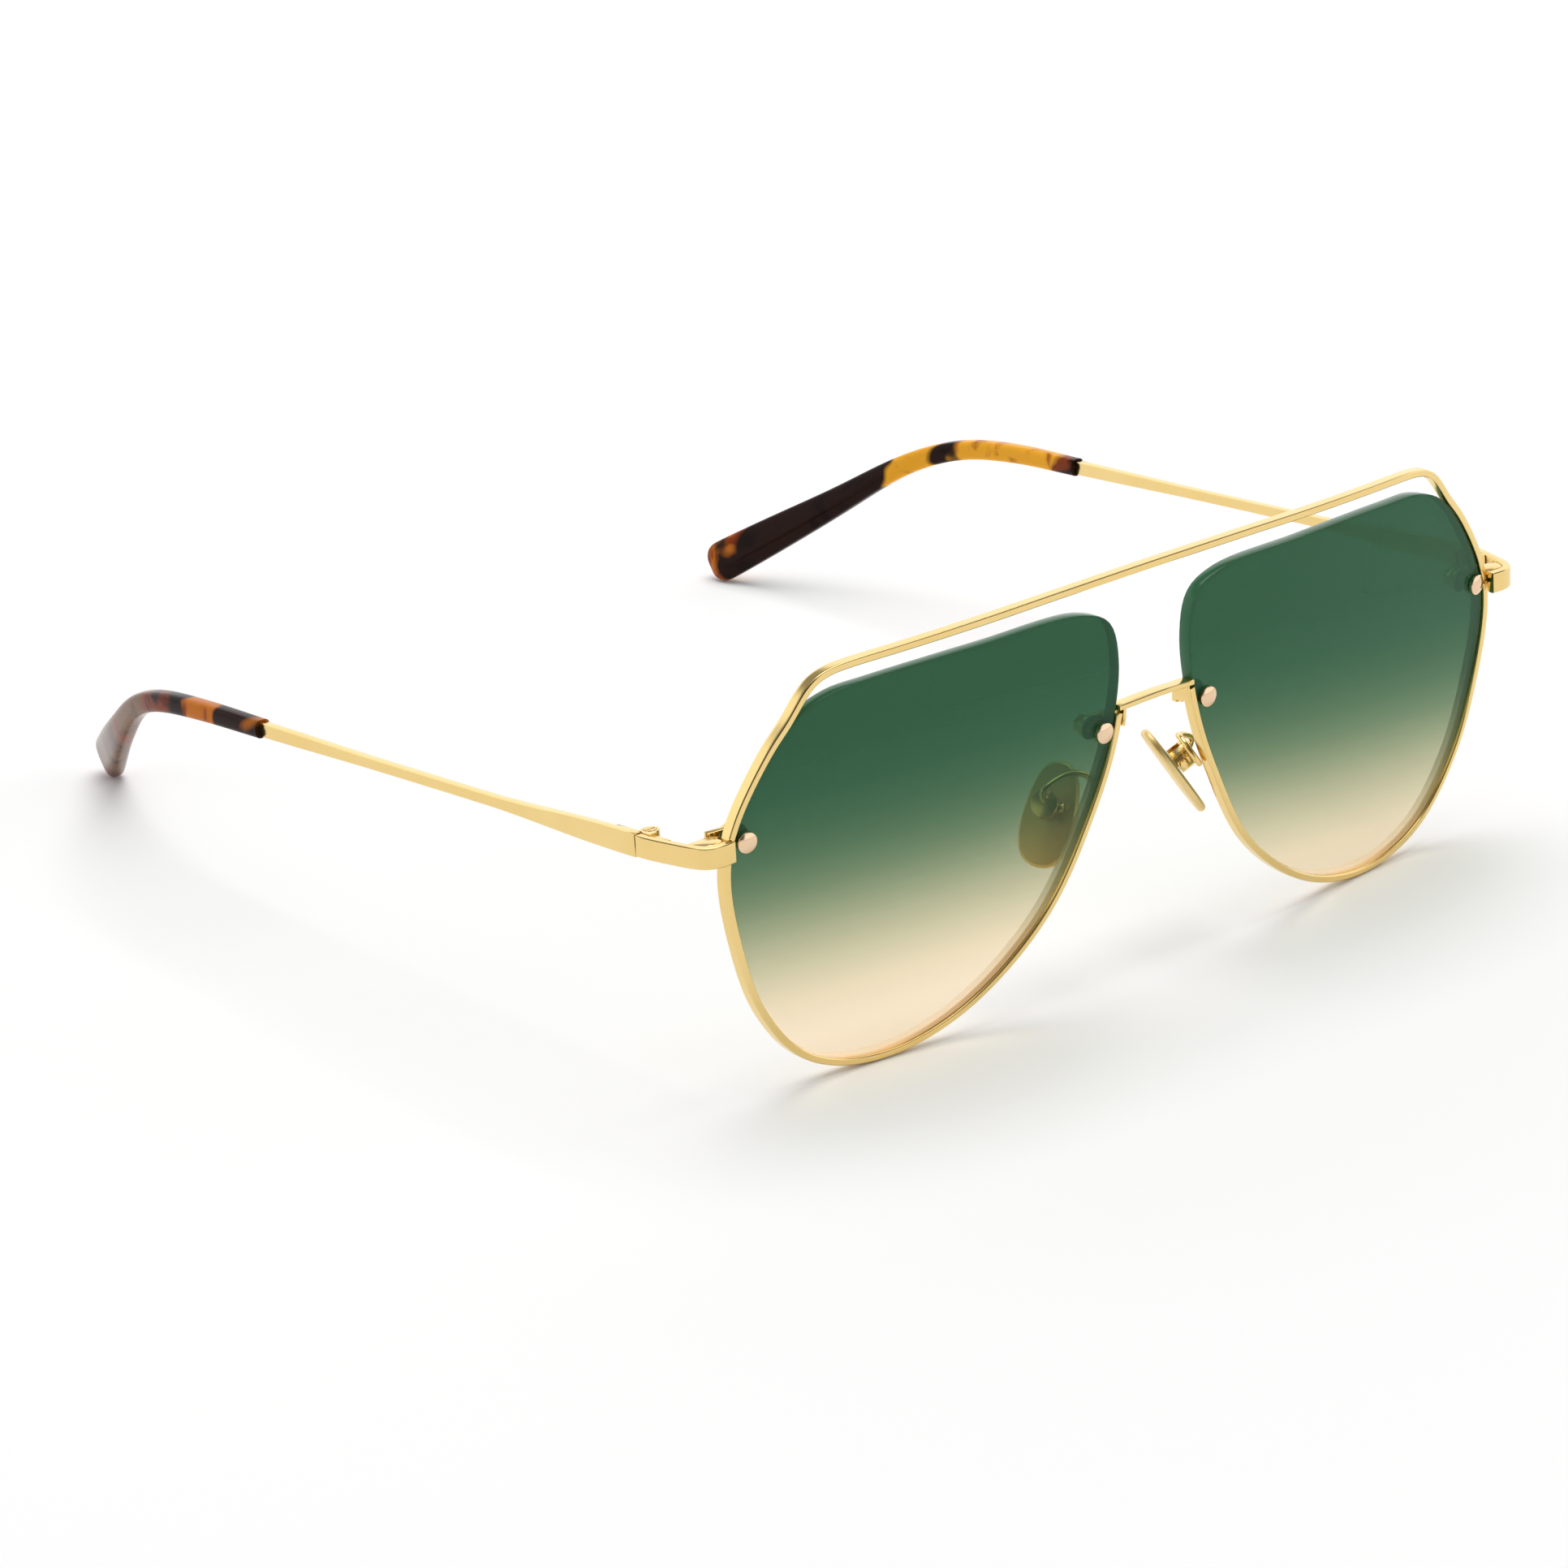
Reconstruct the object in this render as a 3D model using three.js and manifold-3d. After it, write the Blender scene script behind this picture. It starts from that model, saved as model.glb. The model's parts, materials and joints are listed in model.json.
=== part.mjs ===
// Aviator sunglasses: a brow wire and two open rims around free-topped lenses, each lens held by
// two screws on small tabs, with wrap-round end pieces, three-knuckle hinges, flat tapering temples,
// tortoiseshell tips and rocking metal nose pads.
//
// Millimetres, +Z up. The glasses stand open on a table: the front faces -Y and the temples run
// towards +Y. "left" is the wearer's left, +X. Every left piece is designed once, in the frame of
// the front, and its right twin is its mirror image.
import * as THREE from 'three';
import { mergeVertices } from 'three/addons/utils/BufferGeometryUtils.js';
import Module from 'manifold-3d';

const wasm = await Module();
wasm.setup();

// ---- Driving dimensions --------------------------------------------------------------------

const DEGREE = Math.PI / 180;
const SOLDER_GAP = 0.05; // between pieces that are soldered, clamped or bushed together
const LENS_SEAT_GAP = 0.1; // between a lens and what is clamped to it
const RUNNING_GAP = 0.05; // radial play of a pin in a piece that turns on it

// The front surface of each lens is part of a sphere. This is the sphere's foremost point.
const LENS_CURVE_RADIUS = 340;
const LENS_CURVE_POINT = new THREE.Vector3(5.2, -0.05, 18.9);
const LENS_THICKNESS = 1.9;

// The edge of the left lens seen from the front, as x, z, from the end piece down round the
// cheek and up beside the nose, then back along the straight top.
const LENS_EDGE_POINTS = [
  [65.4, 1.2],
  [66.2, -4],
  [64.8, -12.5],
  [60.9, -23.3],
  [54, -31.25],
  [43.5, -34.15],
  [30.8, -31.3],
  [18.6, -22.2],
  [11.3, -10],
  [7.5, -0.3],
  [6.1, 9.3],
  [7.5, 14.7],
  [12, 16.9],
  [28, 17.2],
  [45, 16.9],
  [51.5, 16.4],
  [56.5, 14.2],
  [61.4, 8.6],
];
const LENS_EDGE_STEPS = 84;

// Rim and brow wire, both of the same flat wire standing on its edge.
const WIRE_WIDTH = 0.95; // seen from the front
const WIRE_DEPTH = 1.65; // front to back
const WIRE_PROUD = 0.45; // how far its front stands out from the lens
const WIRE_CHAMFER = 0.14;

const END_PIECE_HEIGHT = 2.8;
const END_PIECE_LEVEL = -0.15; // height of its middle, where zero is level with the lens screws
const STRAP_THICKNESS = 1.1;
const END_PIECE_EXTRA = 0.05; // thicker by this at the front, where the wires meet it

const BRIDGE_LEVEL = 3.1;
const BRIDGE_THICKNESS = 0.75;
const BRIDGE_DEPTH = 1.9;
const BRIDGE_LEG_THICKNESS = 0.5;
const BRIDGE_LEG_BOTTOM = 0.9;

// Lens screws, as x, z of their axes.
const TEMPLE_SCREW = [64, 0.2];
const NOSE_SCREW = [9.1, 0.5];
const SCREW_HEAD_RADIUS = 1.375;
const SCREW_HEAD_HEIGHT = 0.9;
const SCREW_RADIUS = 0.6;
const BUSHING_WALL = 0.25;
const BUSHING_FLANGE_RADIUS = 1.6;
const BUSHING_FLANGE_HEIGHT = 0.3;
const TAB_THICKNESS = 0.8;
const NUT_RADIUS = 1.25;
const NUT_HEIGHT = 1;

// Hinge: its axis, and the temple's slope down from it.
const HINGE = new THREE.Vector3(71, 15.1, END_PIECE_LEVEL);
const TEMPLE_SLOPE = 2.75 * DEGREE;
const KNUCKLE_RADIUS = 1.2;
const KNUCKLE_HEIGHT = 0.9;
const HINGE_HEIGHT = 2.9;
const HINGE_SCREW_RADIUS = 0.5;
const STRAP_OUTER_FACE = 2.5; // from the hinge axis out to the temple's outer face

// Temple and tip, measured along the temple from the hinge.
const TEMPLE_HEIGHT = 3;
const TEMPLE_THIN_HEIGHT = 1.4;
const TEMPLE_TAPER_START = 4;
const TEMPLE_TAPER_END = 30;
const TEMPLE_MOUTH_HEIGHT = 1.9; // it grows again where it enters the tip
const TEMPLE_FLARE_START = 50;
const JOINT_GAP = 0.07; // from the hinge axis to the butt end of the temple, and of the end piece
const TIP_MOUTH = 76.9;
const TIP_PATH = [
  [1.95, TIP_MOUTH, 0],
  [1.9, 90, 0],
  [1, 101, -1],
  [-1.4, 110, -3.9],
  [-6.6, 123, -11.4],
  [-15.5, 140.5, -21.55],
];
const CORE_RADIUS = 0.55;

// Nose pad: its pivot, the way its face looks and the way its long side runs down.
const PAD_PIVOT = new THREE.Vector3(11.65, 8.3, -10.7);
const PAD_FACING = new THREE.Vector3(-0.758, 0.367, -0.539).normalize();
const PAD_DOWN = new THREE.Vector3(0.51, -0.18, -0.84).normalize();
const PAD_LENGTH = 14;
const PAD_WIDTH = 7.4;
const PAD_THICKNESS = 1.1;
const PAD_DROP = 0.8; // the pad's middle below its pivot
const PAD_LUG_RADIUS = 0.9;
const PAD_LUG_WIDTH = 0.8;
const PAD_PIN_RADIUS = 0.4;
const PAD_BOX_RADIUS = 1.8;
const PAD_BOX_FRONT = 0.75; // the box's ends, measured from the pivot
const PAD_BOX_BACK = -1.5;
const PAD_STAND_OFF = 1.05; // from the pivot to the back of the pad
const ARM_RADIUS = 0.45;

// The table: turns the whole model so that the rims and the tips both touch it.
const REST_TILT = 1.948 * DEGREE;

// ---- Materials -----------------------------------------------------------------------------

const gold = () => new THREE.MeshStandardMaterial({ color: 0xe3c47c, roughness: 0.2, metalness: 1 });
const roseGold = () => new THREE.MeshStandardMaterial({ color: 0xdcb594, roughness: 0.18, metalness: 1 });
const tortoiseshell = () => new THREE.MeshStandardMaterial({ color: 0x5a2a10, roughness: 0.25, metalness: 0 });
const clearPlastic = () => new THREE.MeshStandardMaterial({ color: 0xdfe6d8, roughness: 0.3, metalness: 0 });
const lensTint = () => new THREE.MeshStandardMaterial({ color: 0x4f7f60, roughness: 0.05, metalness: 0 });

// ---- Solids --------------------------------------------------------------------------------

// Turns any closed geometry into a manifold solid with its faces pointing out.
function solidOf(geometry) {
  const plain = geometry.clone();
  plain.deleteAttribute('normal');
  plain.deleteAttribute('uv');
  const merged = mergeVertices(plain, 1e-4);
  const triVerts = new Uint32Array(merged.index.array);
  const vertProperties = new Float32Array(merged.attributes.position.array);
  const solid = new wasm.Manifold(new wasm.Mesh({ numProp: 3, vertProperties, triVerts }));
  if (solid.volume() > 0) return solid;
  triVerts.reverse();
  return new wasm.Manifold(new wasm.Mesh({ numProp: 3, vertProperties, triVerts }));
}

function geometryOf(solid) {
  const mesh = solid.getMesh();
  const geometry = new THREE.BufferGeometry();
  geometry.setAttribute('position', new THREE.BufferAttribute(new Float32Array(mesh.vertProperties), 3));
  geometry.setIndex(new THREE.BufferAttribute(new Uint32Array(mesh.triVerts), 1));
  return geometry;
}

const join = (...solids) => solids.reduce((sum, solid) => sum.add(solid));
const cut = (solid, ...tools) => tools.reduce((rest, tool) => rest.subtract(tool), solid);

// Straight stock of the given section, drawn from 0 to 1 and then bent: place(t, a, b) says where
// the section's point a, b ends up at the fraction t of the way along.
function bentStock(section, steps, place) {
  const geometry = new THREE.ExtrudeGeometry(section, { depth: 1, steps, bevelEnabled: false });
  const position = geometry.attributes.position;
  for (let i = 0; i < position.count; i += 1) {
    const point = place(position.getZ(i), position.getX(i), position.getY(i));
    position.setXYZ(i, point.x, point.y, point.z);
  }
  return solidOf(geometry);
}

// A rectangle with chamfered corners, centred on the origin.
function strapSection(width, height, chamfer) {
  const x = width / 2;
  const y = height / 2;
  const section = new THREE.Shape();
  section.moveTo(x, -y + chamfer);
  section.lineTo(x, y - chamfer);
  section.lineTo(x - chamfer, y);
  section.lineTo(-x + chamfer, y);
  section.lineTo(-x, y - chamfer);
  section.lineTo(-x, -y + chamfer);
  section.lineTo(-x + chamfer, -y);
  section.lineTo(x - chamfer, -y);
  section.closePath();
  return section;
}

// A circle or ellipse as a polygon with the given number of sides.
function roundSection(radiusX, radiusY, sides) {
  const corners = [];
  for (let i = 0; i < sides; i += 1) {
    const angle = (2 * Math.PI * (i + 0.5)) / sides;
    corners.push(new THREE.Vector2(radiusX * Math.cos(angle), radiusY * Math.sin(angle)));
  }
  return new THREE.Shape(corners);
}

// A turned piece about +Z from its radius at each height, as [radius, height] from bottom to top.
function turned(profile, sides) {
  const points = [[0, profile[0][1]], ...profile, [0, profile[profile.length - 1][1]]];
  const lathe = new THREE.LatheGeometry(points.map(([r, h]) => new THREE.Vector2(r, h)), sides);
  lathe.rotateX(Math.PI / 2);
  return solidOf(lathe);
}

// The tool for a hole along Z, nowhere narrower than its radius.
function bore(radius, bottom, top) {
  const sides = 16;
  const corner = radius / Math.cos(Math.PI / sides);
  return turned([[corner, bottom], [corner, top]], sides);
}

// A flat plate between two heights, from an outline in its own X and Y.
function plate(outline, bottom, top) {
  const geometry = new THREE.ExtrudeGeometry(outline, { depth: top - bottom, bevelEnabled: false, curveSegments: 6 });
  geometry.translate(0, 0, bottom);
  return solidOf(geometry);
}

function block(width, depth, height, x, y, z) {
  const box = new THREE.BoxGeometry(width, depth, height);
  box.translate(x, y, z);
  return solidOf(box);
}

// Moves a solid into the frame with the given axes and origin.
function placed(solid, xAxis, yAxis, zAxis, origin) {
  const matrix = new THREE.Matrix4().makeBasis(xAxis, yAxis, zAxis).setPosition(origin);
  const geometry = geometryOf(solid).applyMatrix4(matrix);
  return solidOf(geometry);
}

// ---- The front's surface and the lens edge -------------------------------------------------

// How far back the lens's front surface lies at x, z.
function frontSurface(x, z) {
  const across = Math.abs(x) - LENS_CURVE_POINT.x;
  const up = z - LENS_CURVE_POINT.z;
  const drop = Math.sqrt(LENS_CURVE_RADIUS ** 2 - across ** 2 - up ** 2);
  return LENS_CURVE_POINT.y + LENS_CURVE_RADIUS - drop;
}

const lensEdge = new THREE.CatmullRomCurve3(
  LENS_EDGE_POINTS.map(([x, z]) => new THREE.Vector3(x, 0, z)),
  true,
  'centripetal',
);

// A point outside the lens edge by the given distance, after any number of steps along the edge.
function besideLens(step, distance) {
  const fraction = (step / LENS_EDGE_STEPS + 1) % 1;
  const point = lensEdge.getPointAt(fraction);
  const along = lensEdge.getTangentAt(fraction);
  return new THREE.Vector3(point.x - along.z * distance, 0, point.z + along.x * distance);
}

// How many steps along the nose side, which the edge climbs, it reaches the given height.
function noseSideStep(height) {
  let step = LENS_EDGE_STEPS / 2;
  while (besideLens(step, 0).z < height) step += 0.02;
  return step;
}

const RIM_FIRST_STEP = 0.75; // behind the end piece
const RIM_LAST_STEP = noseSideStep(BRIDGE_LEVEL - BRIDGE_THICKNESS / 2 - 0.3);

// ---- Lenses and rims -----------------------------------------------------------------------

function lens() {
  const reach = 75;
  const rings = 9;
  const segments = 48;
  const front = [];
  const back = [];
  const backRadius = LENS_CURVE_RADIUS - LENS_THICKNESS;
  for (let i = 0; i <= rings; i += 1) {
    const angle = (i / rings) * Math.asin(reach / LENS_CURVE_RADIUS);
    const rise = LENS_CURVE_RADIUS * (1 - Math.cos(angle));
    front.push(new THREE.Vector2(LENS_CURVE_RADIUS * Math.sin(angle), rise));
    const backRise = LENS_CURVE_RADIUS - backRadius * Math.cos(angle);
    back.unshift(new THREE.Vector2(backRadius * Math.sin(angle), backRise));
  }
  const blank = new THREE.LatheGeometry([...front, ...back], segments);
  blank.translate(LENS_CURVE_POINT.x, LENS_CURVE_POINT.y, LENS_CURVE_POINT.z);

  const outline = new THREE.Shape();
  for (let step = 0; step < LENS_EDGE_STEPS; step += 1) {
    const point = besideLens(step, 0);
    if (step === 0) outline.moveTo(point.x, point.z);
    else outline.lineTo(point.x, point.z);
  }
  outline.closePath();
  const cutterDepth = 24;
  const cutter = new THREE.ExtrudeGeometry(outline, { depth: cutterDepth, bevelEnabled: false });
  cutter.rotateX(Math.PI / 2);
  cutter.translate(0, cutterDepth / 2, 0);
  const holes = [TEMPLE_SCREW, NOSE_SCREW].map((spot) => {
    const radius = SCREW_RADIUS + BUSHING_WALL + 3 * SOLDER_GAP;
    return onLensAxis(bore(radius, -6, 6), spot);
  });
  return cut(solidOf(blank).intersect(solidOf(cutter)), ...holes);
}

// The frame of a lens screw: +Z points back through the lens, and zero is on its front surface.
function onLensAxis(solid, [x, z]) {
  const across = x - LENS_CURVE_POINT.x;
  const up = z - LENS_CURVE_POINT.z;
  const back = new THREE.Vector3(-across, LENS_CURVE_RADIUS, -up).normalize();
  const side = new THREE.Vector3(0, 0, 1).cross(back).normalize();
  const origin = new THREE.Vector3(x, frontSurface(x, z), z);
  return placed(solid, side, back.clone().cross(side), back, origin);
}

function rim() {
  const section = strapSection(WIRE_WIDTH, WIRE_DEPTH, WIRE_CHAMFER);
  const stations = [RIM_FIRST_STEP];
  for (let step = Math.ceil(RIM_FIRST_STEP); step < RIM_LAST_STEP - 0.2; step += 1) stations.push(step);
  stations.push(RIM_LAST_STEP);
  return bentStock(section, stations.length - 1, (t, a, b) => {
    const step = stations[Math.round(t * (stations.length - 1))];
    const point = besideLens(step, SOLDER_GAP + WIRE_WIDTH / 2 + a);
    point.y = frontSurface(point.x, point.z) - WIRE_PROUD + WIRE_DEPTH / 2 + b;
    return point;
  });
}

// ---- Brow wire and bridge ------------------------------------------------------------------

// From the left end piece up beside the lens, round the corner and straight across to the right.
function browWire() {
  const toLens = 2 * SOLDER_GAP + WIRE_WIDTH / 2;
  const left = [0, 1.5, 3, 4.5, 6, 7.3].map((steps) => besideLens(LENS_EDGE_STEPS + 0.5 - steps, toLens));
  left.push(new THREE.Vector3(55.7, 0, 16.6));
  left.push(new THREE.Vector3(54.6, 0, 17.85));
  left.push(new THREE.Vector3(53, 0, 18.9));
  left.push(new THREE.Vector3(50.9, 0, 19.45));
  left.push(new THREE.Vector3(48, 0, 19.68));
  left.push(new THREE.Vector3(42, 0, 19.85));
  left.push(new THREE.Vector3(28, 0, 20.25));
  left.push(new THREE.Vector3(16, 0, 20.6));
  const right = left.map((p) => new THREE.Vector3(-p.x, 0, p.z)).reverse();
  const path = new THREE.CatmullRomCurve3([...left, new THREE.Vector3(0, 0, 20.75), ...right], false, 'centripetal');
  const steps = 96;
  const noseRounding = 5; // eases the crease between the two lens spheres
  const section = strapSection(WIRE_WIDTH, WIRE_DEPTH, WIRE_CHAMFER);
  return bentStock(section, steps, (t, a, b) => {
    const point = path.getPointAt(t);
    const along = path.getTangentAt(t);
    point.x += along.z * a;
    point.z -= along.x * a;
    point.y = frontSurface(Math.hypot(point.x, noseRounding), point.z) - WIRE_PROUD + WIRE_DEPTH / 2 + b;
    return point;
  });
}

// A flat strap over the tops of the two rims, with a leg down the nose side of each.
function bridge() {
  const rimTop = besideLens(RIM_LAST_STEP, SOLDER_GAP);
  const reach = besideLens(noseSideStep(BRIDGE_LEVEL + BRIDGE_THICKNESS), SOLDER_GAP).x;
  const middleY = frontSurface(rimTop.x, rimTop.z) - WIRE_PROUD + WIRE_DEPTH / 2;
  const bow = 0.35; // how far the middle of the strap swells forward
  const arch = 0.3; // and up
  const section = strapSection(BRIDGE_DEPTH, BRIDGE_THICKNESS, WIRE_CHAMFER);
  const strap = bentStock(section, 14, (t, a, b) => {
    const along = 2 * t - 1;
    const swell = Math.cos((along * Math.PI) / 2) ** 2;
    return new THREE.Vector3(along * reach, middleY - bow * swell + a, BRIDGE_LEVEL + arch * swell - b);
  });
  const legSection = strapSection(BRIDGE_LEG_THICKNESS, BRIDGE_DEPTH, WIRE_CHAMFER);
  const legBottomStep = noseSideStep(BRIDGE_LEG_BOTTOM);
  const legGap = 3 * SOLDER_GAP + WIRE_WIDTH + BRIDGE_LEG_THICKNESS / 2;
  const legs = [1, -1].map((side) =>
    bentStock(legSection, 3, (t, a, b) => {
      const step = THREE.MathUtils.lerp(RIM_LAST_STEP, legBottomStep, t);
      const point = besideLens(step, legGap + a);
      return new THREE.Vector3(side * point.x, middleY + b, t === 0 ? BRIDGE_LEVEL : point.z);
    }),
  );
  return join(strap, ...legs);
}

// ---- End pieces ----------------------------------------------------------------------------

// The strap's outer face seen from above, from its tab on the front of the wires to the hinge.
const endPieceFace = new THREE.CatmullRomCurve3(
  [
    new THREE.Vector3(66.55, 4.35, 0),
    new THREE.Vector3(68.8, 4.25, 0),
    new THREE.Vector3(70.7, 5.1, 0),
    new THREE.Vector3(71.75, 6.9, 0),
    new THREE.Vector3(72.4, 9.2, 0),
    new THREE.Vector3(73.1, 12, 0),
    new THREE.Vector3(73.47, 14, 0),
    new THREE.Vector3(HINGE.x + STRAP_OUTER_FACE, HINGE.y - JOINT_GAP, 0),
  ],
  false,
  'centripetal',
);

// The end piece, or the room it needs when it is swollen by a gap all round.
function endPiece(gap = 0) {
  const section = strapSection(STRAP_THICKNESS + 2 * gap, END_PIECE_HEIGHT + 2 * gap, 0.14);
  return bentStock(section, 18, (t, a, b) => {
    const point = endPieceFace.getPointAt(t);
    const along = endPieceFace.getTangentAt(t);
    const extra = a < 0 ? END_PIECE_EXTRA * (1 - THREE.MathUtils.smoothstep(t, 0.12, 0.4)) : 0;
    const out = a - extra - STRAP_THICKNESS / 2;
    return new THREE.Vector3(point.x + along.y * out, point.y - along.x * out, END_PIECE_LEVEL + b);
  });
}

// The block behind the end piece that clamps the brow wire and the rim, and its screw.
const LOCK = new THREE.Vector3(68.95, 7.08, END_PIECE_LEVEL);
const LOCK_SCREW_RADIUS = 0.4;
const LOCK_HEIGHT = 2.5;
const LOCK_SCREW_END = 0.7; // above the block's middle: its hole is blind

function rimLock() {
  const body = placedAt(block(3.7, 2.64, LOCK_HEIGHT, 0, 0, 0), LOCK);
  return cut(body, placedAt(bore(LOCK_SCREW_RADIUS + SOLDER_GAP, -3, LOCK_SCREW_END + SOLDER_GAP), LOCK), endPiece(SOLDER_GAP));
}

function rimLockScrew() {
  const headTop = -LOCK_HEIGHT / 2 - SOLDER_GAP;
  const headRadius = 0.75;
  const profile = [
    [headRadius, headTop - 0.3],
    [headRadius, headTop],
    [LOCK_SCREW_RADIUS, headTop],
    [LOCK_SCREW_RADIUS, LOCK_SCREW_END],
  ];
  const screw = turned(profile, 14);
  return placedAt(screw, LOCK);
}

function placedAt(solid, origin) {
  return placed(solid, new THREE.Vector3(1, 0, 0), new THREE.Vector3(0, 1, 0), new THREE.Vector3(0, 0, 1), origin);
}

// ---- Lens screws, bushings, tabs and nuts --------------------------------------------------

const BUSHING_BACK = LENS_THICKNESS + LENS_SEAT_GAP + BUSHING_FLANGE_HEIGHT;
const TAB_FRONT = BUSHING_BACK + SOLDER_GAP;
const TAB_BACK = TAB_FRONT + TAB_THICKNESS;
const NUT_FRONT = TAB_BACK + SOLDER_GAP;

function lensScrew(spot) {
  const face = -LENS_SEAT_GAP - SCREW_HEAD_HEIGHT;
  const profile = [
    [SCREW_HEAD_RADIUS - 0.12, face],
    [SCREW_HEAD_RADIUS, face + 0.12],
    [SCREW_HEAD_RADIUS, -LENS_SEAT_GAP],
    [SCREW_RADIUS, -LENS_SEAT_GAP],
    [SCREW_RADIUS, NUT_FRONT + NUT_HEIGHT + 0.3],
  ];
  return onLensAxis(turned(profile, 24), spot);
}

// A clear sleeve in the lens hole, with a flange behind the lens.
function bushing(spot) {
  const radius = SCREW_RADIUS + SOLDER_GAP;
  const sleeve = turned([[radius + BUSHING_WALL, 0.1], [radius + BUSHING_WALL, BUSHING_BACK]], 16);
  const flangeFront = LENS_THICKNESS + LENS_SEAT_GAP;
  const flange = turned([[BUSHING_FLANGE_RADIUS, flangeFront], [BUSHING_FLANGE_RADIUS, BUSHING_BACK]], 20);
  return onLensAxis(cut(join(sleeve, flange), bore(radius, -1, 4)), spot);
}

function nut(spot) {
  const body = turned([[NUT_RADIUS, NUT_FRONT], [NUT_RADIUS, NUT_FRONT + NUT_HEIGHT]], 6);
  return onLensAxis(cut(body, bore(SCREW_RADIUS + SOLDER_GAP, 0, 8)), spot);
}

// A plate behind the lens: round about its screw, with an arm of the given reach, in the screw's
// frame, where X points along the front.
function tabPlate(reach, lift) {
  const radius = 1.5;
  const eye = turned([[radius, TAB_FRONT], [radius, TAB_BACK]], 20);
  const arm = new THREE.Shape();
  const direction = Math.sign(reach);
  arm.moveTo(0, -1.1 * direction);
  arm.lineTo(reach, lift - 1.1 * direction);
  arm.lineTo(reach, lift + 1.1 * direction);
  arm.lineTo(0, 1.1 * direction);
  arm.closePath();
  return cut(join(eye, plate(arm, TAB_FRONT, TAB_BACK)), bore(SCREW_RADIUS + SOLDER_GAP, 0, 6));
}

function templeTab() {
  return onLensAxis(tabPlate(-3.9, 0), TEMPLE_SCREW);
}

// The nose tab turns forward at its end, past the lens edge, onto the back of the rim.
function noseTab() {
  const footFront = WIRE_DEPTH - WIRE_PROUD + 3 * SOLDER_GAP;
  const footBack = TAB_FRONT + 0.1;
  const foot = block(0.85, 1.6, footBack - footFront, 2.48, 0.3, (footFront + footBack) / 2);
  return onLensAxis(join(tabPlate(2.9, 0.3), foot), NOSE_SCREW);
}

// ---- Hinges --------------------------------------------------------------------------------

// The hinge's frame: +Z along its axis, +Y back along the temple and +X out from the head.
function onHinge(solid) {
  const back = new THREE.Vector3(0, Math.cos(TEMPLE_SLOPE), -Math.sin(TEMPLE_SLOPE));
  const up = new THREE.Vector3(0, Math.sin(TEMPLE_SLOPE), Math.cos(TEMPLE_SLOPE));
  return placed(solid, new THREE.Vector3(1, 0, 0), back, up, HINGE);
}

const LEAF_X = STRAP_OUTER_FACE - STRAP_THICKNESS - SOLDER_GAP; // the leaf's outer face
const LEAF_THICKNESS = 0.9;
const LEAF_HEIGHT = 2.3;
const LEAF_CLEARANCE = KNUCKLE_RADIUS + 0.15; // from the axis to the leaf's plate

function knuckle(middle, height, direction) {
  const barrel = turned([[KNUCKLE_RADIUS, middle - height / 2], [KNUCKLE_RADIUS, middle + height / 2]], 20);
  const webWidth = LEAF_X - 0.1;
  const web = block(webWidth, LEAF_CLEARANCE + 0.2, height, 0.1 + webWidth / 2, (direction * (LEAF_CLEARANCE + 0.2)) / 2, middle);
  return join(barrel, web);
}

function leafPlate(length, direction) {
  const middle = direction * (LEAF_CLEARANCE + length / 2);
  return block(LEAF_THICKNESS, length, LEAF_HEIGHT, LEAF_X - LEAF_THICKNESS / 2, middle, 0);
}

const outerKnuckle = (HINGE_HEIGHT - KNUCKLE_HEIGHT) / 2 - SOLDER_GAP;
const outerKnuckleMiddle = (HINGE_HEIGHT - outerKnuckle) / 2;
const HEAD_RADIUS = 0.8;
const HEAD_HEIGHT = 0.35;

// Two knuckles soldered to the end piece. The top one is sunk for the screw's head.
function frontLeaf() {
  const body = join(
    knuckle(outerKnuckleMiddle, outerKnuckle, -1),
    knuckle(-outerKnuckleMiddle, outerKnuckle, -1),
    leafPlate(3.2, -1),
  );
  const pinHole = bore(HINGE_SCREW_RADIUS + RUNNING_GAP, -3, 3);
  const sink = bore(HEAD_RADIUS + SOLDER_GAP, HINGE_HEIGHT / 2 - HEAD_HEIGHT - SOLDER_GAP, 3);
  return cut(onHinge(cut(body, pinHole, sink)), endPiece(SOLDER_GAP));
}

// The middle knuckle, soldered to the temple.
function templeLeaf() {
  const body = join(knuckle(0, KNUCKLE_HEIGHT, 1), leafPlate(4.2, 1));
  return onHinge(cut(body, bore(HINGE_SCREW_RADIUS + RUNNING_GAP, -3, 3)));
}

function hingeScrew() {
  const top = HINGE_HEIGHT / 2 + 0.05;
  const headBase = HINGE_HEIGHT / 2 - HEAD_HEIGHT;
  const profile = [
    [HINGE_SCREW_RADIUS, -HINGE_HEIGHT / 2],
    [HINGE_SCREW_RADIUS, headBase],
    [HEAD_RADIUS, headBase],
    [HEAD_RADIUS, top],
  ];
  const slot = block(2 * HEAD_RADIUS + 0.2, 0.22, 0.4, 0, 0, top);
  return onHinge(cut(turned(profile, 16), slot));
}

// ---- Temples and tips ----------------------------------------------------------------------

const tipPath = new THREE.CatmullRomCurve3(TIP_PATH.map(([x, y, z]) => new THREE.Vector3(x, y, z)), false, 'centripetal');

// Where the point a (out from the head) and b (up) of a section goes, at fraction t of the tip.
function onTip(t, a, b) {
  const point = tipPath.getPointAt(t);
  const along = tipPath.getTangentAt(t);
  const out = new THREE.Vector3(1, 0, 0).addScaledVector(along, -along.x).normalize();
  const up = out.clone().cross(along);
  return point.addScaledVector(out, a).addScaledVector(up, b);
}

const CORE_END = 0.82; // how far down the tip the core reaches

function core(radius, from, to) {
  return bentStock(roundSection(radius, radius, 8), 18, (t, a, b) => onTip(from + t * (to - from), a, b));
}

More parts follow.
